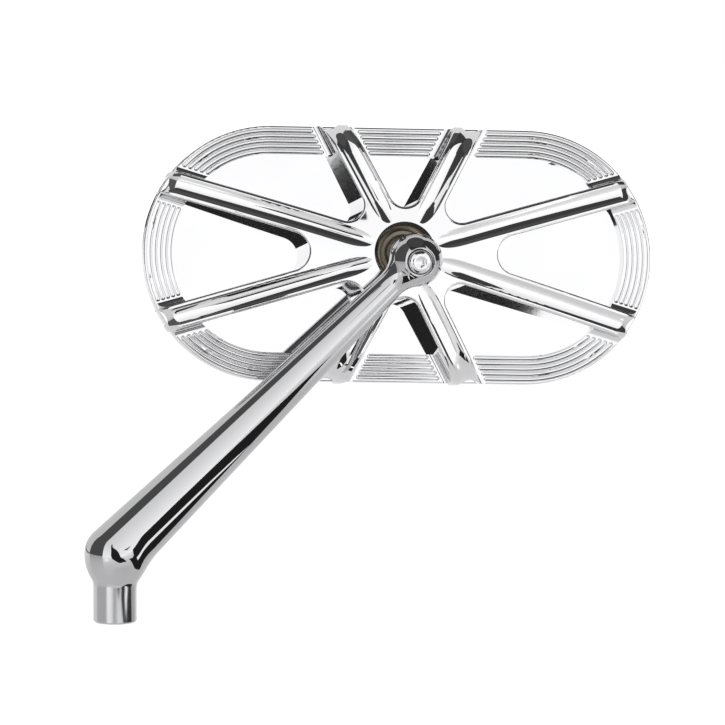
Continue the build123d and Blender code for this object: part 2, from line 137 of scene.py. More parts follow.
def glow_material(name, brightness):
    """A plain emitter, grey from its brightness."""
    material = bpy.data.materials.new(name)
    material.use_nodes = True
    tree = material.node_tree
    tree.nodes.clear()
    glow = tree.nodes.new("ShaderNodeEmission")
    glow.inputs["Color"].default_value = (1.0, 1.0, 1.0, 1.0)
    glow.inputs["Strength"].default_value = brightness
    output = tree.nodes.new("ShaderNodeOutputMaterial")
    tree.links.new(glow.outputs["Emission"], output.inputs["Surface"])
    return material


def fade_upwards(material, top_share):
    """Let an emitter fall off with height, from its full strength at the horizon to a share at its top."""
    tree = material.node_tree
    strength = tree.nodes["Emission"].inputs["Strength"]
    coordinates = tree.nodes.new("ShaderNodeTexCoord")
    split = tree.nodes.new("ShaderNodeSeparateXYZ")
    fall = tree.nodes.new("ShaderNodeMapRange")
    fall.inputs["From Max"].default_value = FADE_HEIGHT
    fall.inputs["To Min"].default_value = strength.default_value
    fall.inputs["To Max"].default_value = strength.default_value * top_share
    tree.links.new(coordinates.outputs["Object"], split.inputs["Vector"])
    tree.links.new(split.outputs["Z"], fall.inputs["Value"])
    tree.links.new(fall.outputs["Result"], strength)


def studio_sheet(name, points, brightness):
    """Emitter from a grid of points; the camera doesn't see it and it casts no shadow."""
    sheet = mesh_object(name, points, grid_faces(*points.shape[:2]))
    sheet.data.materials.append(glow_material(name, brightness))
    sheet.visible_camera = False
    sheet.visible_shadow = False
    return sheet


def card(name, azimuths, low, tops, brightness, radius=STUDIO_RADIUS):
    """Patch of a ball at one radius: azimuth along the rows, elevation from a level foot to a sloping top."""
    share = np.linspace(0, 1, CARD_STEPS)
    azimuth = np.radians(np.linspace(azimuths[0], azimuths[1], CARD_STEPS))[:, None]
    top = np.linspace(tops[0], tops[1], CARD_STEPS)[:, None]
    points = STUDIO_CENTRE + radius * direction(azimuth, np.radians(low + (top - low) * share))
    return studio_sheet(name, points, brightness)


softboxes = [
    card("left_softbox", (-58, -24), -3.6, (53, 42), WHITE),
    card("middle_softbox", (-24, -6), 6, (42, 30), WHITE),
    card("front_softbox", (-6, 22), -3.6, (30, 26), WHITE),
    card("right_softbox", (22, 66), -3.6, (26, 56), WHITE),
]
for softbox in softboxes:
    fade_upwards(softbox.data.materials[0], FADE_SHARE)
card("left_wall", (-118, -58), -2.6, (62, 62), WALL_GREY)
card("backdrop_card", (120, 240), -1, (60, 60), BACKDROP_GREY)
card("ceiling_card", (-180, 180), 64, (89, 89), CEILING_GREY)
card("camera_shade", (-24, -6), -8, (7, 7), DARK, SHADE_RADIUS)
card("camera_bar", (-6, 2.6), 1, (4.2, 4.2), DARK, SHADE_RADIUS)

# %% [markdown]
# The floor is a wide pale table six centimetres under the collar. Seen at a low angle it is glossy, so the
# lower half of the chrome shows the cards a second time, upside down, as it does on a real photo table. A
# soft sun overhead lights it evenly, and the camera sees it lifted to a clear white.

# %% Floor and room
FLOOR_HEIGHT = -0.06
FLOOR_RADIUS = STUDIO_RADIUS
FLOOR_RINGS = 12
FLOOR_SPOKES = 96
FLOOR_GREY = 0.80
FLOOR_ROUGHNESS = 0.12
FLOOR_GLOW = 0.62
FLOOR_GLOSS_GLOW = 0.28
FLOOR_SHEEN = 0.5
ROOM_GREY = 0.05
SUN_STRENGTH = 0.6
SUN_SPREAD = math.radians(60)


def surface_material(name, metallic):
    """A new material, its node tree and its surface shader."""
    material = bpy.data.materials.new(name)
    material.use_nodes = True
    surface = material.node_tree.nodes["Principled BSDF"]
    surface.inputs["Metallic"].default_value = metallic
    return material, material.node_tree, surface


def floor_material():
    """Pale floor: grey with a sheen in reflections, lifted to a clear white for the camera."""
    material, tree, surface = surface_material("pale_floor", 0.0)
    surface.inputs["Base Color"].default_value = (FLOOR_GREY, FLOOR_GREY, FLOOR_GREY, 1.0)
    surface.inputs["Roughness"].default_value = FLOOR_ROUGHNESS
    path = tree.nodes.new("ShaderNodeLightPath")
    lift = tree.nodes.new("ShaderNodeMath")
    lift.operation = "MULTIPLY"
    lift.inputs[1].default_value = FLOOR_GLOW
    total = tree.nodes.new("ShaderNodeMath")
    total.operation = "MULTIPLY_ADD"
    total.inputs[1].default_value = FLOOR_GLOSS_GLOW
    tree.links.new(path.outputs["Is Camera Ray"], lift.inputs[0])
    tree.links.new(path.outputs["Is Glossy Ray"], total.inputs[0])
    tree.links.new(lift.outputs["Value"], total.inputs[2])
    surface.inputs["Emission Color"].default_value = (1.0, 1.0, 1.0, 1.0)
    tree.links.new(total.outputs["Value"], surface.inputs["Emission Strength"])
    sheen = tree.nodes.new("ShaderNodeMath")
    sheen.operation = "MULTIPLY_ADD"
    sheen.inputs[1].default_value = -FLOOR_SHEEN
    sheen.inputs[2].default_value = FLOOR_SHEEN
    tree.links.new(path.outputs["Is Camera Ray"], sheen.inputs[0])
    tree.links.new(sheen.outputs["Value"], surface.inputs["Specular IOR Level"])
    return material


ring = np.linspace(0.0, 1.0, FLOOR_RINGS)[:, None] * FLOOR_RADIUS
turn = np.linspace(0, 2 * np.pi, FLOOR_SPOKES, endpoint=False)[None, :]
floor_points = np.stack([ring * np.cos(turn), ring * np.sin(turn), FLOOR_HEIGHT + 0 * ring * turn], -1)
floor = mesh_object("floor", floor_points, grid_faces(FLOOR_RINGS, FLOOR_SPOKES, close_columns=True))
floor.data.materials.append(floor_material())

sun = bpy.data.objects.new("overhead_sun", bpy.data.lights.new("overhead_sun", "SUN"))
sun.data.energy = SUN_STRENGTH
sun.data.angle = SUN_SPREAD
sun.visible_glossy = False
scene.collection.objects.link(sun)

world = bpy.data.worlds.new("studio")
scene.world = world
world.use_nodes = True
tree = world.node_tree
background = tree.nodes["Background"]
path = tree.nodes.new("ShaderNodeLightPath")
pick = tree.nodes.new("ShaderNodeMix")
pick.data_type = "RGBA"
pick.inputs["A"].default_value = (ROOM_GREY, ROOM_GREY, ROOM_GREY, 1.0)
pick.inputs["B"].default_value = (1.0, 1.0, 1.0, 1.0)
tree.links.new(path.outputs["Is Camera Ray"], pick.inputs["Factor"])
tree.links.new(pick.outputs["Result"], background.inputs["Color"])

# %% [markdown]
# The arm is one casting: a collar that swells into a ball elbow, a long taper and a ball boss. Its lengths
# are those of the CAD part, in millimetres. The collar's side and the arm's side are each a radius that
# changes along an axis, and both are pieced together from lines and arcs that meet tangentially.

# %% Sides of the collar and the arm
MM = 0.001
COLLAR_RADIUS = 6.35
COLLAR_STRAIGHT = 11.9
SHOULDER_BLEND = 3.0
ELBOW_HEIGHT = 19.95
ELBOW_RADIUS = 8.9
BOSS_REACH = 90.2
BOSS_RISE = 84.15
BOSS_RADIUS = 7.9
NECK_RADIUS = 4.3
NECK_TO_BOSS = 16.0
NECK_FLARE = 8.0

elbow = np.array([0.0, 0.0, ELBOW_HEIGHT])
boss = np.array([BOSS_REACH, 0.0, ELBOW_HEIGHT + BOSS_RISE])
ARM_LENGTH = math.hypot(BOSS_REACH, BOSS_RISE)
along_arm = (boss - elbow) / ARM_LENGTH
neck_at = ARM_LENGTH - NECK_TO_BOSS
lean = math.asin(ELBOW_RADIUS / math.hypot(neck_at, NECK_RADIUS)) - math.atan2(NECK_RADIUS, neck_at)
taper = math.tan(lean)
foot = ELBOW_RADIUS / math.cos(lean)

rise = ELBOW_HEIGHT - COLLAR_STRAIGHT
swell = ELBOW_RADIUS - COLLAR_RADIUS
shoulder_radius = (rise**2 + swell**2) / (2 * swell)
shoulder_middle = ELBOW_RADIUS - shoulder_radius
blend_middle = COLLAR_RADIUS + SHOULDER_BLEND
blend_run = blend_middle - shoulder_middle
blend_height = ELBOW_HEIGHT - math.sqrt((shoulder_radius + SHOULDER_BLEND) ** 2 - blend_run**2)
blend_share = shoulder_radius / (shoulder_radius + SHOULDER_BLEND)
blend_top = ELBOW_HEIGHT + (blend_height - ELBOW_HEIGHT) * blend_share

flare_offset = foot + NECK_FLARE / math.cos(lean)
flare_sum = BOSS_RADIUS + NECK_FLARE
flare_a = 1 + taper**2
flare_b = -2 * (ARM_LENGTH + taper * flare_offset)
flare_c = ARM_LENGTH**2 + flare_offset**2 - flare_sum**2
flare_at = (-flare_b - math.sqrt(flare_b**2 - 4 * flare_a * flare_c)) / (2 * flare_a)
flare_middle = flare_offset - taper * flare_at
flare_start = flare_at - NECK_FLARE * math.sin(lean)
flare_end = ARM_LENGTH + (flare_at - ARM_LENGTH) * BOSS_RADIUS / flare_sum


def collar_side(height):
    """Radius of the collar: straight, a hollow arc, then a full arc up to the elbow ball's equator."""
    hollow = blend_middle - np.sqrt(np.maximum(SHOULDER_BLEND**2 - (height - blend_height) ** 2, 0))
    full = shoulder_middle + np.sqrt(np.maximum(shoulder_radius**2 - (ELBOW_HEIGHT - height) ** 2, 0))
    return np.where(height < blend_height, COLLAR_RADIUS, np.where(height < blend_top, hollow, full))


def arm_side(station):
    """Radius of the arm: a straight taper, a hollow arc into the boss, then the boss ball."""
    straight = foot - taper * station
    hollow = flare_middle - np.sqrt(np.maximum(NECK_FLARE**2 - (station - flare_at) ** 2, 0))
    ball = np.sqrt(np.maximum(BOSS_RADIUS**2 - (station - ARM_LENGTH) ** 2, 0))
    return np.where(station < flare_start, straight, np.where(station < flare_end, hollow, ball))


print("arm:", round(ARM_LENGTH, 2), "mm long, taper", round(math.degrees(lean), 2), "degrees")

# %% [markdown]
# Under the elbow the arm and the collar meet in a soft hollow, as a casting does after polishing. Two
# signed distances, one to each skin, are joined by a rounded minimum, and the skin is where that is nought.
# It is found on each ray from the middle line by halving the step again and again, for all rays at once.
# A Boolean union with a bevel would need a clean crease to follow, and here the crease fades out.

# %% Soft elbow
ELBOW_SOFTNESS = 3.6
SOFT_FROM = 0.0
SOFT_TO = 7.0
SEARCH_REACH = 15.0
SEARCH_STEPS = 40
LEAST_REACH = 1e-6


def smooth_step(value, low, high):
    """0 below low, 1 above high, and 3t^2 - 2t^3 between them."""
    share = np.clip((value - low) / (high - low), 0, 1)
    return share * share * (3 - 2 * share)


def distance_to_arm(points):
    """Signed distance to the taper, and behind its first edge to the elbow ball."""
    offset = points - elbow
    station = offset @ along_arm
    across = np.linalg.norm(offset - station[..., None] * along_arm, axis=-1)
    side = (across - (foot - taper * station)) * math.cos(lean)
    return np.where(station > across * taper, side, np.linalg.norm(offset, axis=-1) - ELBOW_RADIUS)


def distance_to_collar(points):
    """Signed distance to the collar's side, measured level, and above its equator to the elbow ball."""
    level = np.hypot(points[..., 0], points[..., 1]) - collar_side(points[..., 2])
    ball = np.linalg.norm(points - elbow, axis=-1) - ELBOW_RADIUS
    return np.where(points[..., 2] < ELBOW_HEIGHT, level, ball)


def elbow_field(points):
    """Rounded minimum: the smaller distance, less the overlap squared over four reaches, inside the bend."""
    arm, collar = distance_to_arm(points), distance_to_collar(points)
    reach = np.maximum(ELBOW_SOFTNESS * smooth_step(points[..., 0], SOFT_FROM, SOFT_TO), LEAST_REACH)
    overlap = np.maximum(reach - np.abs(arm - collar), 0)
    return np.minimum(arm, collar) - overlap**2 / (4 * reach)


def skin_radius(middles, rays):
    """Distance along each ray from its middle to the skin, by halving an interval that holds it."""
    near = np.zeros(rays.shape[:-1])
    far = np.full(rays.shape[:-1], SEARCH_REACH)
    for _ in range(SEARCH_STEPS):
        half = (near + far) / 2
        outside = elbow_field(middles + half[..., None] * rays) > 0
        far = np.where(outside, half, far)
        near = np.where(outside, near, half)
    return (near + far) / 2


# %% [markdown]
# The arm's skin is a stack of rings. They start level on the collar, fan round a point under the elbow
# until they stand square to the arm, then follow the arm to the far pole of the boss. Below the collar the
# same rings turn inwards and line the tapped hole, whose thread is a triangle wave wound up the wall.

# %% Rings of the arm
ARM_COLUMNS = 128
FAN_POINT = np.array([16.0, 0.0, 8.0])
FAN_RINGS = 48
COLLAR_RINGS = 8
SOFT_RINGS = 28
TAPER_RINGS = 40
FLARE_RINGS = 18
CAP_RINGS = 20
COLLAR_CHAMFER = 0.5
HOLE_RADIUS = 3.4
HOLE_DEPTH = 15.0
HOLE_POINT = 1.9
HOLE_MOUTH = 4.2
THREAD_PITCH = 1.25
THREAD_DEPTH = 0.6
THREAD_RINGS_PER_TURN = 10
THREAD_LENGTH = 13.2
SOFT_LENGTH = 18.0
BLOCK_SWING = math.radians(38.5)
BLOCK_STEPS = 28

angle = 2 * np.pi * np.arange(ARM_COLUMNS) / ARM_COLUMNS
lift = math.atan2(BOSS_REACH, BOSS_RISE)
to_front = np.array([0.0, -1.0, 0.0])
upwards = np.array([0.0, 0.0, 1.0])


def ring_rays(swing):
    """Rays round one ring: level for a swing of 0, square to the arm when the swing equals its lift."""
    outward = np.stack([-np.cos(swing), 0 * swing, np.sin(swing)], -1)
    return np.cos(angle)[:, None] * outward[..., None, :] + np.sin(angle)[:, None] * to_front


def rings(middles, swing, radius):
    """Points of many rings from their middles, swings and radii."""
    return middles[:, None, :] + radius[..., None] * ring_rays(swing)


def triangle_wave(turns):
    """0 to 1 and back to 0 once per turn."""
    return 1 - np.abs(2 * (turns % 1.0) - 1)


thread_rows = int(THREAD_LENGTH / THREAD_PITCH * THREAD_RINGS_PER_TURN)
thread_height = np.linspace(THREAD_LENGTH, HOLE_MOUTH - HOLE_RADIUS, thread_rows)
fade = smooth_step(THREAD_LENGTH - thread_height, 0, THREAD_PITCH)[:, None]
wound = triangle_wave(thread_height[:, None] / THREAD_PITCH - angle / (2 * np.pi))
hole_heights = np.concatenate([
    [HOLE_DEPTH + HOLE_POINT, HOLE_DEPTH],
    thread_height,
    [0.0, 0.0, COLLAR_CHAMFER],
])
plain = np.ones(ARM_COLUMNS)
hole_radius = np.concatenate([
    [0 * plain, HOLE_RADIUS * plain],
    HOLE_RADIUS + THREAD_DEPTH * fade * wound,
    [HOLE_MOUTH * plain, (COLLAR_RADIUS - COLLAR_CHAMFER) * plain, COLLAR_RADIUS * plain],
])
hole_middles = hole_heights[:, None] * upwards
hole_rings = rings(hole_middles, 0 * hole_heights, hole_radius)

collar_heights = np.linspace(COLLAR_CHAMFER, FAN_POINT[2], COLLAR_RINGS)[1:-1]
collar_middles = collar_heights[:, None] * upwards
collar_radius = np.full((len(collar_heights), ARM_COLUMNS), COLLAR_RADIUS)
collar_rings = rings(collar_middles, 0 * collar_heights, collar_radius)

fan_swing = np.linspace(0, lift, FAN_RINGS)
fan_outward = np.stack([-np.cos(fan_swing), 0 * fan_swing, np.sin(fan_swing)], -1)
arm_reach = (elbow - FAN_POINT) @ fan_outward[-1]
fan_reach = FAN_POINT[0] + (arm_reach - FAN_POINT[0]) * smooth_step(fan_swing, 0, lift)
fan_middles = FAN_POINT + fan_reach[:, None] * fan_outward
fan_radius = skin_radius(fan_middles[:, None, :], ring_rays(fan_swing))
fan_rings = rings(fan_middles, fan_swing, fan_radius)

fan_end = (FAN_POINT - elbow) @ along_arm
soft_stations = np.linspace(fan_end, SOFT_LENGTH, SOFT_RINGS)[1:]
soft_middles = elbow + soft_stations[:, None] * along_arm
soft_swing = np.full(len(soft_stations), lift)
soft_radius = skin_radius(soft_middles[:, None, :], ring_rays(soft_swing))
soft_rings = rings(soft_middles, soft_swing, soft_radius)

boss_first = math.asin((flare_end - ARM_LENGTH) / BOSS_RADIUS)
boss_swing = np.concatenate([
    [boss_first],
    np.linspace(-BLOCK_SWING, BLOCK_SWING, BLOCK_STEPS + 1),
    np.linspace(BLOCK_SWING, math.pi / 2, CAP_RINGS)[1:],
])
stations = np.concatenate([
    np.linspace(SOFT_LENGTH, flare_start, TAPER_RINGS)[1:],
    np.linspace(flare_start, flare_end, FLARE_RINGS)[1:-1],
    ARM_LENGTH + BOSS_RADIUS * np.sin(boss_swing),
])
arm_middles = elbow + stations[:, None] * along_arm
arm_radius = arm_side(stations)[:, None] * plain
arm_rings = rings(arm_middles, np.full(len(stations), lift), arm_radius)
skin = np.concatenate([hole_rings, collar_rings, fan_rings, soft_rings, arm_rings])
print("arm rings:", len(skin), "of", ARM_COLUMNS, "points")

# %% [markdown]
# The boss is drilled right through: a counterbore for the screw head in front, a bore for the stud and a
# flat for its washer behind. In the skin a square of faces is left out at both ends of the drilling. A
# second grid runs from the rim of one square over the ball to the edge of the hole, down through the
# drilling and out to the other square. So the holes have true round edges, with no Boolean slivers.

# %% Drilling of the boss
COUNTERBORE_RADIUS = 4.15
COUNTERBORE_FLOOR = 4.322
SCREW_HOLE_RADIUS = 2.15
BORE_BOTTOM = 1.522
BORE_RADIUS = 2.79
SPOT_FACE = 6.9
EDGE_BREAK = 0.3
EDGE_STEPS = 6
PATCH_STEPS = 8
FRONT_COLUMN = ARM_COLUMNS // 4
BLOCK_HALF = 14

top_row = len(skin) - len(boss_swing) + 1
side_rows = np.arange(BLOCK_STEPS + 1)
side_columns = np.arange(2 * BLOCK_HALF + 1)
loop_rows = top_row + np.concatenate([
    0 * side_columns[:-1],
    side_rows[:-1],
    BLOCK_STEPS + 0 * side_columns[:-1],
    side_rows[:0:-1],
])
loop_columns = FRONT_COLUMN - BLOCK_HALF + np.concatenate([
    side_columns[:-1],
    2 * BLOCK_HALF + 0 * side_rows[:-1],
    side_columns[:0:-1],
    0 * side_rows[:-1],
])
front_loop = skin[loop_rows, loop_columns] - boss
rear_loop = skin[loop_rows, ARM_COLUMNS - loop_columns] - boss
across_arm = np.array([-math.cos(lift), 0.0, math.sin(lift)])
loop_turn = np.arctan2(front_loop @ across_arm, front_loop @ along_arm)
loop_spoke = np.cos(loop_turn)[:, None] * along_arm + np.sin(loop_turn)[:, None] * across_arm


def ball_patch(loop, edge_radius, side):
    """Rings on the boss ball from a square loop in to a round edge: the polar angle slides between them."""
    loop_polar = np.arccos(np.clip(side * (loop @ to_front) / BOSS_RADIUS, -1, 1))
    share = np.linspace(0, 1, PATCH_STEPS + 1)[:, None]
    polar = (1 - share) * loop_polar + share * math.asin(edge_radius / BOSS_RADIUS)
    return BOSS_RADIUS * np.sin(polar), side * BOSS_RADIUS * np.cos(polar)


front_edge = COUNTERBORE_RADIUS + EDGE_BREAK
front_radius, front_depth = ball_patch(front_loop, front_edge, 1)
rear_radius, rear_depth = ball_patch(rear_loop, math.sqrt(BOSS_RADIUS**2 - SPOT_FACE**2), -1)
bend = np.linspace(0, 1, EDGE_STEPS)[1:]
edge_start = np.array([front_edge, math.sqrt(BOSS_RADIUS**2 - front_edge**2)])
edge_corner = np.array([COUNTERBORE_RADIUS, math.sqrt(BOSS_RADIUS**2 - COUNTERBORE_RADIUS**2)])
edge_finish = edge_corner - np.array([0.0, EDGE_BREAK])
edge_points = (
    ((1 - bend) ** 2)[:, None] * edge_start
    + (2 * bend * (1 - bend))[:, None] * edge_corner
    + (bend**2)[:, None] * edge_finish
)
drilled = np.concatenate([
    edge_points,
    [
        [COUNTERBORE_RADIUS, COUNTERBORE_FLOOR],
        [SCREW_HOLE_RADIUS, COUNTERBORE_FLOOR],
        [SCREW_HOLE_RADIUS, BORE_BOTTOM],
        [BORE_RADIUS, BORE_BOTTOM],
        [BORE_RADIUS, -SPOT_FACE],
    ],
])
around = np.ones(len(loop_turn))
tunnel_radius = np.concatenate([front_radius, drilled[:, :1] * around, rear_radius[::-1]])
tunnel_depth = np.concatenate([front_depth, drilled[:, 1:] * around, rear_depth[::-1]])
tunnel = boss + tunnel_radius[..., None] * loop_spoke + tunnel_depth[..., None] * to_front

# %% [markdown]
# The two grids become one closed mesh: the square holes are taken out of the skin, the drilling's first and
# last ring fall on their rims, and merging equal points sews everything up. Edges that turn by more than
# the crease angle stay sharp, so the polished sides don't smear into the drilled faces.

# %% Arm piece
MERGE_DISTANCE = 1e-6
CREASE = math.radians(32)


def sew(piece):
    """Merge equal points, turn all faces outwards and keep true edges sharp."""
    sewn = bmesh.new()
    sewn.from_mesh(piece.data)
    bmesh.ops.remove_doubles(sewn, verts=sewn.verts, dist=MERGE_DISTANCE)
    bmesh.ops.dissolve_degenerate(sewn, edges=sewn.edges, dist=MERGE_DISTANCE)
    bmesh.ops.recalc_face_normals(sewn, faces=sewn.faces)
    open_edges = sum(not edge.is_manifold for edge in sewn.edges)
    volume = sewn.calc_volume(signed=True)
    sewn.to_mesh(piece.data)
    sewn.free()
    piece.data.set_sharp_from_angle(angle=CREASE)
    print(piece.name, "open edges:", open_edges, "volume:", round(volume / MM**3, 1), "mm3")


skin_faces = grid_faces(len(skin), ARM_COLUMNS, close_columns=True)
face_row = skin_faces[:, 0] // ARM_COLUMNS
face_column = skin_faces[:, 0] % ARM_COLUMNS
in_rows = (face_row >= top_row) & (face_row < top_row + BLOCK_STEPS)
in_front = np.abs(face_column + 0.5 - FRONT_COLUMN) < BLOCK_HALF
in_rear = np.abs(face_column + 0.5 - 3 * FRONT_COLUMN) < BLOCK_HALF
skin_faces = skin_faces[~(in_rows & (in_front | in_rear))]
tunnel_faces = grid_faces(len(tunnel), len(loop_turn), close_columns=True)[:, ::-1]
arm_points = np.concatenate([skin.reshape(-1, 3), tunnel.reshape(-1, 3)]) * MM
arm = mesh_object("arm", arm_points, np.concatenate([skin_faces, tunnel_faces + skin.size // 3]))
sew(arm)
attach(arm, "stem")
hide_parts("stem_arm")

# %% [markdown]
# Along its lower right side the arm mirrors a dark band: black, one bright line, black again, narrowing
# upwards to a point. Here a dark strip six centimetres from the arm draws it, with a thin white strip in
# front. Each row of their outlines is a station along the arm and the two sides at that station.

# %% Strips beside the arm
STRIP_OFFSET = np.array([40.5, -34.0, -28.0])
STRIP_FOOT = [[-9, -38, 4], [-5, -31, 18], [-1, -34, 32], [3, -60, 40], [24, -54, 32]]
STRIP_OUTLINE = np.array(STRIP_FOOT + [[43, -42.5, 22.5], [62, -28, 12.5], [78, -15, -4.5], [84, -10, -10]])
LINE_FOOT = [[1, -15, -3.5], [11, -11, -0.7], [21, -7, 3.2]]
LINE_OUTLINE = np.array(LINE_FOOT + [[31, -1.3, 7.4], [41, 7.7, 14.6], [47, 18, 18]])
LINE_NEARNESS = 0.97


def strip_corners(nearness, outline):
    """Corners of a band in a plane beside the arm: a station along it and two places across it per row."""
    offset = nearness * STRIP_OFFSET
    across = np.cross(along_arm, offset)
    across /= np.linalg.norm(across)
    return elbow + offset + outline[:, :1, None] * along_arm + outline[:, 1:, None] * across


studio_sheet("dark_strip", strip_corners(1.0, STRIP_OUTLINE) * MM, DARK)
studio_sheet("bright_line", strip_corners(LINE_NEARNESS, LINE_OUTLINE) * MM, WHITE)

# %% [markdown]
# The collar is a plain cylinder, so it shows what stands round it at table height as upright stripes. Two
# white posts on the table draw them. Six centimetres in front of the elbow a dark card makes the crescent on
# its ball: each row of its outline is an elevation and two azimuths. One more small dark card hangs half a
# metre before the head, higher up, where only one spoke's wall finds it.

# %% Posts, gap and flag
POST_REACH = 300.0
POST_HEIGHTS = np.array([-58.0, -22.0])
POSTS = [("left_post", -42, 7, WHITE), ("right_post", 67, 8, WHITE)]
FLAG_CENTRE = np.array([40.1, -450.2, 281.2])
FLAG_HALF_WIDTH = 28.0
FLAG_HALF_HEIGHT = 19.0
GAP_REACH = 60.0
GAP_TOP = [[36, -29, -28], [31, -26, -22.5], [25, -25, -15.5], [19.6, -24, -9.3], [13.7, -24, -3.7]]
GAP_OUTLINE = np.array(GAP_TOP + [[8, -24, 1.5], [2, -24, 5.8], [-6, -21, 9.5], [-12, -12, 12], [-18, 4, 16]])


def post_corners(middle, half):
    """Upright patch of a cylinder round the collar, from its middle azimuth and half width in degrees."""
    azimuth = np.radians(np.array([middle - half, middle + half]))
    level = POST_REACH * direction(azimuth, 0 * azimuth)
    return level[None, :, :] + POST_HEIGHTS[:, None, None] * upwards


for name, middle, half, brightness in POSTS:
    studio_sheet(name, post_corners(middle, half) * MM, brightness)
gap = np.radians(GAP_OUTLINE)
gap_corners = elbow + GAP_REACH * direction(gap[:, 1:], gap[:, :1])
studio_sheet("dark_gap", gap_corners * MM, DARK)
flag_across = np.array([-FLAG_HALF_WIDTH, FLAG_HALF_WIDTH])[None, :, None] * np.array([1.0, 0.0, 0.0])
flag_up = np.array([-FLAG_HALF_HEIGHT, FLAG_HALF_HEIGHT])[:, None, None] * upwards
studio_sheet("dark_flag", (FLAG_CENTRE + flag_across + flag_up) * MM, DARK)

# %% [markdown]
# The screw is a button head with a hexagon socket. It is one profile turned about its axis, except in the
# socket, where the radius follows a hexagon, and on the shank, where a thread is wound as in the collar.

# %% Pivot screw
SCREW_COLUMNS = 96
SCREW_RADIUS = 2.0
SCREW_HEAD_RADIUS = 3.8
SCREW_HEAD_HEIGHT = 2.2
SCREW_CROWN_RADIUS = 2.0
SCREW_LENGTH = 10.0
SOCKET_FLATS = 2.5
SOCKET_DEPTH = 1.3
SOCKET_POINT = 0.45
SOCKET_MOUTH = 1.62
SOCKET_CHAMFER = 0.14
HEAD_FILLET = 0.25
WASHER_THICKNESS = 0.5
SCREW_PITCH = 0.7
SCREW_THREAD_DEPTH = 0.4
SCREW_RINGS_PER_TURN = 8
SCREW_PLAIN = 1.0
CROWN_RINGS = 14

seat = COUNTERBORE_FLOOR + WASHER_THICKNESS
screw_top = seat + SCREW_HEAD_HEIGHT
turn = 2 * np.pi * np.arange(SCREW_COLUMNS) / SCREW_COLUMNS
one = np.ones(SCREW_COLUMNS)
sixth = math.pi / 3
hexagon = SOCKET_FLATS / 2 / np.cos((turn + sixth / 2) % sixth - sixth / 2)
crown_run = SCREW_HEAD_RADIUS - SCREW_CROWN_RADIUS
crown_radius = (crown_run**2 + SCREW_HEAD_HEIGHT**2) / (2 * SCREW_HEAD_HEIGHT)
crown_swing = np.linspace(0, math.pi - math.asin(crown_run / crown_radius), CROWN_RINGS)
crown = np.stack([
    SCREW_CROWN_RADIUS + crown_radius * np.sin(crown_swing),
    screw_top - crown_radius * (1 - np.cos(crown_swing)),
], -1)
tip = seat - SCREW_LENGTH
shank_rows = int((SCREW_LENGTH - SCREW_PLAIN) / SCREW_PITCH * SCREW_RINGS_PER_TURN)
shank_height = np.linspace(seat - HEAD_FILLET, tip + SCREW_THREAD_DEPTH, shank_rows)
shank_fade = smooth_step(seat - HEAD_FILLET - shank_height, 0, SCREW_PITCH)[:, None]
shank_wave = triangle_wave(shank_height[:, None] / SCREW_PITCH + turn / (2 * np.pi))
socket_bottom = screw_top - SOCKET_DEPTH
screw_heights = np.concatenate([
    [socket_bottom - SOCKET_POINT, socket_bottom, screw_top - SOCKET_CHAMFER, screw_top],
    crown[:, 1],
    [seat],
    shank_height,
    [tip, tip],
])
screw_radii = np.concatenate([
    [0 * one, hexagon, hexagon, SOCKET_MOUTH * one],
    crown[:, :1] * one,
    [(SCREW_RADIUS + HEAD_FILLET) * one],
    SCREW_RADIUS - SCREW_THREAD_DEPTH * shank_fade * (1 - shank_wave),
    [(SCREW_RADIUS - SCREW_THREAD_DEPTH) * one, 0 * one],
])
round_axis = np.stack([np.cos(turn), 0 * turn, np.sin(turn)], -1)
screw_points = boss + screw_radii[..., None] * round_axis + screw_heights[:, None, None] * to_front
screw_faces = grid_faces(len(screw_heights), SCREW_COLUMNS, close_columns=True)
screw = mesh_object("screw", screw_points * MM, screw_faces)
sew(screw)
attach(screw, "stud")
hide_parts("pivot_screw")

# %% [markdown]
# Chrome plate is a full mirror with a faint haze. Two noises on the object's own coordinates do the rest:
# a broad one makes some places a touch hazier, as a polishing wheel leaves them, and a fine one ripples
# the plate by about a micrometre. A flat roughness would look like a computer drawing of chrome.

# %% Chrome
HAZE_SCALE = 45.0
HAZE_DETAIL = 4.0
PEEL_SCALE = 420.0
PEEL_DETAIL = 2.0
PEEL_HEIGHT = 2e-6
PEEL_STRENGTH = 0.5
NOISE_LOW = 0.3
NOISE_HIGH = 0.7
COLLAR_SATIN = 0.12
COLLAR_FADE = 0.001


def noise_node(tree, scale, detail):
    """Noise on Object coordinates."""
    coordinates = tree.nodes.new("ShaderNodeTexCoord")
    noise = tree.nodes.new("ShaderNodeTexNoise")
    noise.inputs["Scale"].default_value = scale
    noise.inputs["Detail"].default_value = detail
    tree.links.new(coordinates.outputs["Object"], noise.inputs["Vector"])
    return noise


def map_range(tree, source, low, high):
    """Noise value between its usual ends, stretched to run from low to high."""
    spread = tree.nodes.new("ShaderNodeMapRange")
    spread.inputs["From Min"].default_value = NOISE_LOW
    spread.inputs["From Max"].default_value = NOISE_HIGH
    spread.inputs["To Min"].default_value = low
    spread.inputs["To Max"].default_value = high
    tree.links.new(source, spread.inputs["Value"])
    return spread.outputs["Result"]


def colour_between(tree, source, first, second):
    """Colour that runs from first to second with a noise value."""
    ramp = tree.nodes.new("ShaderNodeValToRGB")
    ramp.color_ramp.elements[0].position = NOISE_LOW
    ramp.color_ramp.elements[0].color = (*first, 1.0)
    ramp.color_ramp.elements[1].position = NOISE_HIGH
    ramp.color_ramp.elements[1].color = (*second, 1.0)
    tree.links.new(source, ramp.inputs["Fac"])
    return ramp.outputs["Color"]


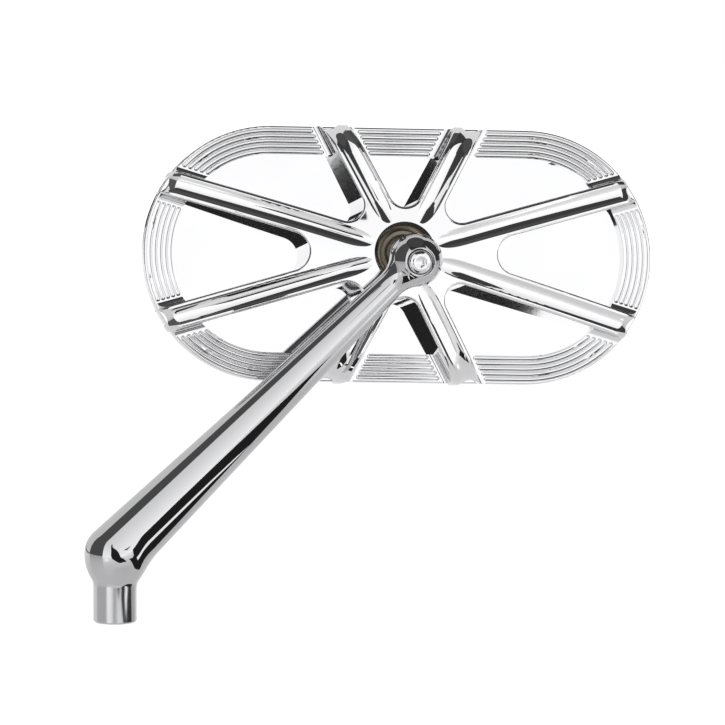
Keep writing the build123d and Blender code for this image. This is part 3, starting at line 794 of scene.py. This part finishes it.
def bump_node(tree, source, distance, strength):
    """Bump of a given height in metres."""
    bump = tree.nodes.new("ShaderNodeBump")
    bump.inputs["Strength"].default_value = strength
    bump.inputs["Distance"].default_value = distance
    tree.links.new(source, bump.inputs["Height"])
    return bump.outputs["Normal"]


def chrome_material(name, bright, dull, clear, hazy):
    """Polished chrome: colour and roughness drift with a broad noise, the surface with a fine one."""
    material, tree, surface = surface_material(name, 1.0)
    haze = noise_node(tree, HAZE_SCALE, HAZE_DETAIL).outputs["Fac"]
    peel = noise_node(tree, PEEL_SCALE, PEEL_DETAIL).outputs["Fac"]
    tree.links.new(colour_between(tree, haze, bright, dull), surface.inputs["Base Color"])
    tree.links.new(map_range(tree, haze, clear, hazy), surface.inputs["Roughness"])
    tree.links.new(bump_node(tree, peel, PEEL_HEIGHT, PEEL_STRENGTH), surface.inputs["Normal"])
    return material


def satin_below(material, height, fade, extra):
    """Brushed finish under a height: extra roughness that fades in over a short way down."""
    tree = material.node_tree
    roughness = tree.nodes["Principled BSDF"].inputs["Roughness"]
    polished = roughness.links[0].from_socket
    coordinates = tree.nodes.new("ShaderNodeTexCoord")
    split = tree.nodes.new("ShaderNodeSeparateXYZ")
    spread = tree.nodes.new("ShaderNodeMapRange")
    spread.inputs["From Min"].default_value = height - fade
    spread.inputs["From Max"].default_value = height
    spread.inputs["To Min"].default_value = extra
    spread.inputs["To Max"].default_value = 0.0
    total = tree.nodes.new("ShaderNodeMath")
    total.operation = "ADD"
    tree.links.new(coordinates.outputs["Object"], split.inputs["Vector"])
    tree.links.new(split.outputs["Z"], spread.inputs["Value"])
    tree.links.new(polished, total.inputs[0])
    tree.links.new(spread.outputs["Result"], total.inputs[1])
    tree.links.new(total.outputs["Value"], roughness)


def dress(names, material):
    """Put one material into the slot of each named CAD node."""
    for name in names:
        nodes[name].data.materials.clear()
        nodes[name].data.materials.append(material)


arm_chrome = chrome_material("arm_chrome", (0.61, 0.61, 0.62), (0.59, 0.59, 0.60), 0.025, 0.06)
head_chrome = chrome_material("head_chrome", (0.83, 0.83, 0.84), (0.81, 0.81, 0.82), 0.02, 0.045)
screw_chrome = chrome_material("screw_chrome", (0.77, 0.77, 0.78), (0.72, 0.72, 0.73), 0.04, 0.09)
satin_below(arm_chrome, COLLAR_STRAIGHT * MM, COLLAR_FADE, COLLAR_SATIN)
arm.data.materials.append(arm_chrome)
screw.data.materials.append(screw_chrome)
dress(["mirror_head"], head_chrome)

# %% [markdown]
# The joint's hidden metal is turned, not polished: the tool leaves fine rings round the axis. Stud, washer,
# seats, springs and plug share one recipe, a wave out from the axis, broken up by noise.

# %% Turned metal
BALL = (0.0902, 0.0183, 0.1041)
STUD_AXIS = (math.radians(90), 0.0, 0.0)
HEAD_TURN = (math.radians(80.55), 0.0, math.radians(-4.7))
RING_DISTORTION = 0.6
RING_DETAIL = 3.0
RING_HEIGHT = 6e-6
RING_STRENGTH = 0.35
STAIN_SCALE = 300.0
STAIN_DETAIL = 5.0


def turned_material(name, light, dark, clear, hazy, rings_per_metre, axis):
    """Turned metal: rings out from an axis through the ball, and noise that breaks them up."""
    material, tree, surface = surface_material(name, 1.0)
    coordinates = tree.nodes.new("ShaderNodeTexCoord")
    place = tree.nodes.new("ShaderNodeMapping")
    place.vector_type = "TEXTURE"
    place.inputs["Location"].default_value = BALL
    place.inputs["Rotation"].default_value = axis
    wave = tree.nodes.new("ShaderNodeTexWave")
    wave.wave_type = "RINGS"
    wave.rings_direction = "Z"
    wave.inputs["Scale"].default_value = rings_per_metre
    wave.inputs["Distortion"].default_value = RING_DISTORTION
    wave.inputs["Detail"].default_value = RING_DETAIL
    tree.links.new(coordinates.outputs["Object"], place.inputs["Vector"])
    tree.links.new(place.outputs["Vector"], wave.inputs["Vector"])
    stain = noise_node(tree, STAIN_SCALE, STAIN_DETAIL).outputs["Fac"]
    tree.links.new(colour_between(tree, stain, light, dark), surface.inputs["Base Color"])
    tree.links.new(map_range(tree, stain, clear, hazy), surface.inputs["Roughness"])
    grooves = bump_node(tree, wave.outputs["Fac"], RING_HEIGHT, RING_STRENGTH)
    tree.links.new(grooves, surface.inputs["Normal"])
    return material


TURNED = [
    ("washer_steel", (0.66, 0.66, 0.67), (0.52, 0.52, 0.54), 0.16, 0.32, 900.0, STUD_AXIS),
    ("stud_steel", (0.46, 0.42, 0.36), (0.33, 0.30, 0.26), 0.14, 0.3, 900.0, STUD_AXIS),
    ("seat_bronze", (0.50, 0.46, 0.39), (0.36, 0.33, 0.27), 0.16, 0.32, 800.0, HEAD_TURN),
    ("inner_steel", (0.56, 0.56, 0.57), (0.42, 0.42, 0.43), 0.2, 0.36, 700.0, HEAD_TURN),
    ("spring_steel", (0.40, 0.39, 0.38), (0.26, 0.25, 0.25), 0.25, 0.4, 700.0, HEAD_TURN),
]
turned = {row[0]: turned_material(*row) for row in TURNED}
dress(["screw_washer"], turned["washer_steel"])
dress(["ball_stud"], turned["stud_steel"])
dress(["front_seat"], turned["seat_bronze"])
dress(["rear_seat", "rear_plug"], turned["inner_steel"])
dress(["disc_springs"], turned["spring_steel"])
print("turned metals:", len(turned))

# %% [markdown]
# Two soft materials: the ball runs in moulded acetal, a waxy plastic, coloured a greyish brown as painted
# shade for the hollow of the hub round it, and the glass sits on black foam, whose open cells show on its cut
# edge.

# %% Acetal and foam
# The acetal's greyish brown is painted shade: darker than the plastic itself, it stands for the shade in the
# hub's mouth.
ACETAL_SHADE_LIGHT = (0.44, 0.41, 0.35)
ACETAL_SHADE_DARK = (0.33, 0.30, 0.25)
DRIFT_SCALE = 120.0
GRAIN_SCALE = 1500.0
ACETAL_DETAIL = 3.0
GRAIN_HEIGHT = 2e-5
GRAIN_STRENGTH = 0.3
# The darker colour inside each pore is painted shade in the foam's cells.
FOAM_PORE_SHADE = (0.02, 0.02, 0.02)
FOAM_WALL = (0.07, 0.07, 0.07)
PORE_SCALE = 2500.0
PORE_HEIGHT = 1e-4
PORE_STRENGTH = 0.6


def acetal_material():
    """Waxy plastic in a greyish brown of painted shade: slight colour drift, mould grain as a fine bump."""
    material, tree, surface = surface_material("liner_plastic", 0.0)
    grain = noise_node(tree, GRAIN_SCALE, ACETAL_DETAIL).outputs["Fac"]
    drift = noise_node(tree, DRIFT_SCALE, ACETAL_DETAIL).outputs["Fac"]
    colour = colour_between(tree, drift, ACETAL_SHADE_LIGHT, ACETAL_SHADE_DARK)
    tree.links.new(colour, surface.inputs["Base Color"])
    tree.links.new(map_range(tree, drift, 0.35, 0.5), surface.inputs["Roughness"])
    tree.links.new(bump_node(tree, grain, GRAIN_HEIGHT, GRAIN_STRENGTH), surface.inputs["Normal"])
    return material


def foam_material():
    """Black foam: round cells from a Voronoi distance, with painted shade darker inside each cell."""
    material, tree, surface = surface_material("pad_foam", 0.0)
    coordinates = tree.nodes.new("ShaderNodeTexCoord")
    cells = tree.nodes.new("ShaderNodeTexVoronoi")
    cells.inputs["Scale"].default_value = PORE_SCALE
    tree.links.new(coordinates.outputs["Object"], cells.inputs["Vector"])
    pores = cells.outputs["Distance"]
    tree.links.new(colour_between(tree, pores, FOAM_PORE_SHADE, FOAM_WALL), surface.inputs["Base Color"])
    tree.links.new(map_range(tree, pores, 0.75, 0.95), surface.inputs["Roughness"])
    tree.links.new(bump_node(tree, pores, PORE_HEIGHT, PORE_STRENGTH), surface.inputs["Normal"])
    return material


dress(["front_liner", "rear_liner", "friction_washer"], acetal_material())
dress(["glass_pad"], foam_material())

# %% [markdown]
# The rider's side is silvered glass. The silver behind the glass is the mirror, and the polished front adds
# a clear coat. A very faint drift in the haze keeps large reflections from looking printed.

# %% Mirror glass
SILVER_CLEAN = (0.88, 0.90, 0.90)
SILVER_WIPED = (0.84, 0.86, 0.87)
COAT_WEIGHT = 0.6
COAT_ROUGHNESS = 0.02
WIPE_SCALE = 30.0
WIPE_DETAIL = 6.0


def silver_material():
    """Silver behind glass: a bright mirror under a clear coat, with a trace of wiping haze."""
    material, tree, surface = surface_material("mirror_silver", 1.0)
    surface.inputs["Coat Weight"].default_value = COAT_WEIGHT
    surface.inputs["Coat Roughness"].default_value = COAT_ROUGHNESS
    wiping = noise_node(tree, WIPE_SCALE, WIPE_DETAIL).outputs["Fac"]
    colour = colour_between(tree, wiping, SILVER_CLEAN, SILVER_WIPED)
    tree.links.new(colour, surface.inputs["Base Color"])
    tree.links.new(map_range(tree, wiping, 0.005, 0.03), surface.inputs["Roughness"])
    return material


dress(["mirror_glass"], silver_material())

# %% [markdown]
# Last, the scene's view transform is set to Standard.

scene.view_settings.view_transform = "Standard"
